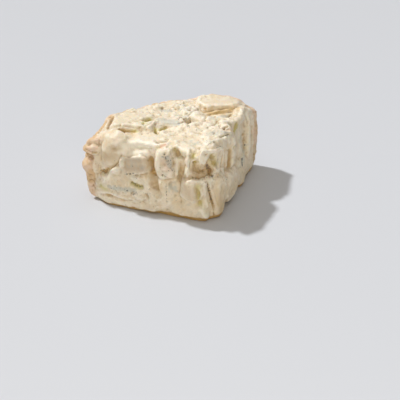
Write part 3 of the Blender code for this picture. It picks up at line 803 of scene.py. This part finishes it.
paste = {
    "ivory": (0.80, 0.69, 0.51, 1),
    "cream": (0.85, 0.76, 0.61, 1),
    # painted highlight colour
    "paintedHighlight": (0.95, 0.89, 0.76, 1),
    "dull": (0.62, 0.55, 0.43, 1),
    # the paste's own yellow, also used as warm painted shade
    "ochreAndShade": (0.64, 0.44, 0.17, 1),
    "olive": (0.62, 0.56, 0.20, 1),
    # painted shade colour, for the shade rows and the creases
    "paintedShade": (0.36, 0.22, 0.10, 1),
    "blueGrey": (0.50, 0.53, 0.49, 1),
    "darkMould": (0.12, 0.12, 0.10, 1),
    "pink": (0.74, 0.46, 0.33, 1),
    "rindTan": (0.70, 0.50, 0.29, 1),
    "rindPink": (0.80, 0.62, 0.48, 1),
    # brown grit on the rind, and painted shade in its pits
    "rindGritAndShade": (0.36, 0.21, 0.09, 1),
    "footBrown": (0.48, 0.30, 0.10, 1),
    "baseCloud": (14 * mm,),                 # ivory and cream: size of the cloud, then its fade
    "baseRange": (0.35, 0.65),
    "roughCloud": (5 * mm,),
    "roughRange": (0.3, 0.7),
    "roughness": (0.42, 0.6),
    "rindRoughness": 0.25,                   # how much rougher the rind is
    "glow": 0.2,                             # share of light that goes through the paste's skin
    "glowSpread": (1.0, 0.6, 0.3),
    "glowDepth": 1.5 * mm,
    "bumpCloud": (1.8 * mm, 4),
    "bumpStrength": 0.5,
    "bumpDepth": 0.5 * mm,
}

# Colours laid over the paste and then over the rind, in this order. Each follows a cloud, with its size,
# detail and distortion, or one of the block's masks, and fades in over a range up to its share.
pasteLayers = {
    "warmth": {"cloud": (9 * mm, 3, 0.6), "range": (0.48, 0.72), "share": 0.28, "colour": "ochreAndShade"},
    "dullness": {"cloud": (5 * mm, 3, 0.8), "range": (0.52, 0.70), "share": 0.30, "colour": "dull"},
    # The next three follow the hollow masks: painted highlights on crests, warm painted shade in the wider
    # hollows, partly also the paste's own yellow there, and painted shade in creases.
    "crests": {"mask": "fineHollow", "range": (0.42, 0.05), "share": 0.65, "colour": "paintedHighlight"},
    "hollows": {"mask": "wideHollow", "range": (0.58, 1.0), "share": 0.5, "colour": "ochreAndShade"},
    "creases": {"mask": "fineHollow", "range": (0.60, 1.0), "share": 0.4, "colour": "paintedShade"},
}
rindLayers = {
    "age": {"cloud": (34 * mm, 5, 0.8), "range": (0.50, 0.62), "share": 0.4, "colour": "dull"},
    # painted shade in the rind's pits
    "pits": {"mask": "fineHollow", "range": (0.54, 0.95), "share": 0.7, "colour": "rindGritAndShade"},
    "bloom": {"cloud": (9 * mm, 5), "range": (0.50, 0.68), "share": 0.55, "colour": "cream"},
}
rindPatches = {
    "cloud": (24 * mm, 5),                   # tan and pink
    "range": (0.42, 0.58),
    "gritCloud": (2.4 * mm, 2),              # brown grit
    "gritRange": (0.54, 0.66),
    "thickCloud": (16 * mm, 3),              # and the patches where it is thick
    "thickRange": (0.45, 0.62),
    "gritShare": (0.1, 0.5),                 # between those patches and in them
}
mould = {
    "veinCloud": (12 * mm, 4, 1.5),          # faint veins all over
    "veinRange": (0.58, 0.68),
    "speckCloud": (2.2 * mm, 2),             # and the specks in them
    "speckRange": (0.5, 0.62),
    "looseShare": 0.3,
    "bloomCloud": (4 * mm, 3),               # bloom on the blue-grey stretches
    "bloomContrast": 1.5,
    "bloomLevel": -0.62,
    "bloomRange": (0.10, 0.90),
    "bloomShare": 0.6,
    "dotCloud": (1.9 * mm, 2, 0.5),          # dots on the dark ones
    "dotContrast": 3.2,
    "dotLevel": -1.75,
    "dotRange": (0.40, 0.80),
    "dotShare": 0.85,
}


def linked(tree, socket, source):
    if isinstance(source, bpy.types.NodeSocket):
        tree.links.new(socket, source)
    else:
        socket.default_value = source


def mixed(tree, share, first, second):
    node = tree.nodes.new("ShaderNodeMix")
    node.data_type = "RGBA"
    linked(tree, node.inputs["Factor"], share)
    linked(tree, node.inputs["A"], first)
    linked(tree, node.inputs["B"], second)
    return node.outputs["Result"]


def worked(tree, operation, first, second=0.5, third=0.5):
    node = tree.nodes.new("ShaderNodeMath")
    node.operation = operation
    for socket, value in zip(node.inputs, (first, second, third)):
        linked(tree, socket, value)
    return node.outputs["Value"]


def ranged(tree, value, low, high, to=(0, 1)):
    node = tree.nodes.new("ShaderNodeMapRange")
    node.interpolation_type = "SMOOTHSTEP"
    linked(tree, node.inputs["Value"], value)
    node.inputs["From Min"].default_value = low
    node.inputs["From Max"].default_value = high
    node.inputs["To Min"].default_value, node.inputs["To Max"].default_value = to
    return node.outputs["Result"]


def masked(tree, name):
    node = tree.nodes.new("ShaderNodeAttribute")
    node.attribute_name = name
    return node.outputs["Fac"]


def cloud(tree, size, detail=3, distortion=0.0):        # noise with features of that size
    place = tree.nodes.new("ShaderNodeTexCoord")
    node = tree.nodes.new("ShaderNodeTexNoise")
    node.inputs["Scale"].default_value = 1 / size
    node.inputs["Detail"].default_value = detail
    node.inputs["Distortion"].default_value = distortion
    tree.links.new(node.inputs["Vector"], place.outputs["Object"])
    return node.outputs["Fac"]


def clouded(tree, shape, fade, to=(0, 1)):        # a cloud, faded in over a range
    return ranged(tree, cloud(tree, *shape), *fade, to)


def layered(tree, colour, layers):        # lays each of those layers over a colour
    for layer in layers.values():
        source = cloud(tree, *layer["cloud"]) if "cloud" in layer else masked(tree, layer["mask"])
        share = ranged(tree, source, *layer["range"], (0, layer["share"]))
        colour = mixed(tree, share, colour, paste[layer["colour"]])
    return colour


def pasteColour(tree):        # ivory and cream, dull in places, with painted highlights on crests, warm painted shade in hollows, painted shade in creases, then the stains with the painted shade and highlights
    base = clouded(tree, paste["baseCloud"], paste["baseRange"])
    colour = layered(tree, mixed(tree, base, paste["ivory"], paste["cream"]), pasteLayers)
    for stain in ("ochreAndShade", "olive", "paintedShade", "pink", "paintedHighlight"):
        colour = mixed(tree, masked(tree, stain), colour, paste[stain])
    return colour


def mouldOn(tree, colour):        # blue-grey bloom, and dark specks that gather along the veins
    veins = clouded(tree, mould["veinCloud"], mould["veinRange"])
    specks = clouded(tree, mould["speckCloud"], mould["speckRange"])
    loose = worked(tree, "MULTIPLY", worked(tree, "MULTIPLY", veins, specks), mould["looseShare"])
    patch = worked(tree, "ADD", masked(tree, "blueGrey"), mould["bloomLevel"])
    bloom = worked(tree, "MULTIPLY_ADD", cloud(tree, *mould["bloomCloud"]), mould["bloomContrast"], patch)
    bloom = ranged(tree, bloom, *mould["bloomRange"], (0, mould["bloomShare"]))
    colour = mixed(tree, worked(tree, "MAXIMUM", loose, bloom), colour, paste["blueGrey"])
    gathered = worked(tree, "ADD", masked(tree, "darkMould"), mould["dotLevel"])
    dots = worked(tree, "MULTIPLY_ADD", cloud(tree, *mould["dotCloud"]), mould["dotContrast"], gathered)
    dots = ranged(tree, dots, *mould["dotRange"], (0, mould["dotShare"]))
    return mixed(tree, dots, colour, paste["darkMould"])


def rindOn(tree, colour):        # tan and pink rind with brown grit, painted shade in its pits, and a dark line along the foot
    patches = clouded(tree, rindPatches["cloud"], rindPatches["range"])
    skin = layered(tree, mixed(tree, patches, paste["rindTan"], paste["rindPink"]), rindLayers)
    thick = clouded(tree, rindPatches["thickCloud"], rindPatches["thickRange"], rindPatches["gritShare"])
    grit = clouded(tree, rindPatches["gritCloud"], rindPatches["gritRange"])
    skin = mixed(tree, worked(tree, "MULTIPLY", grit, thick), skin, paste["rindGritAndShade"])
    rind = worked(tree, "MAXIMUM", masked(tree, "rind"), masked(tree, "rindStain"))
    colour = mixed(tree, rind, colour, skin)
    return mixed(tree, masked(tree, "footRind"), colour, paste["footBrown"]), rind


def pasteFinish():
    finish = bpy.data.materials.new("moistPaste")
    finish.use_nodes = True
    tree = finish.node_tree
    shader = tree.nodes["Principled BSDF"]
    colour, rind = rindOn(tree, mouldOn(tree, pasteColour(tree)))
    tree.links.new(shader.inputs["Base Color"], colour)
    rough = clouded(tree, paste["roughCloud"], paste["roughRange"], paste["roughness"])
    rough = worked(tree, "MULTIPLY_ADD", rind, paste["rindRoughness"], rough)
    tree.links.new(shader.inputs["Roughness"], rough)
    shader.inputs["Subsurface Weight"].default_value = paste["glow"]
    shader.inputs["Subsurface Radius"].default_value = paste["glowSpread"]
    shader.inputs["Subsurface Scale"].default_value = paste["glowDepth"]
    bump = tree.nodes.new("ShaderNodeBump")
    bump.inputs["Strength"].default_value = paste["bumpStrength"]
    bump.inputs["Distance"].default_value = paste["bumpDepth"]
    tree.links.new(bump.inputs["Height"], cloud(tree, *paste["bumpCloud"]))
    tree.links.new(shader.inputs["Normal"], bump.outputs["Normal"])
    return finish


cheese = makeBlock()
cheese.data.materials.append(pasteFinish())
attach(cheese, "root")
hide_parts("gorgonzola")
print("block finished:", sum(len(face.vertices) - 2 for face in cheese.data.polygons), "triangles")
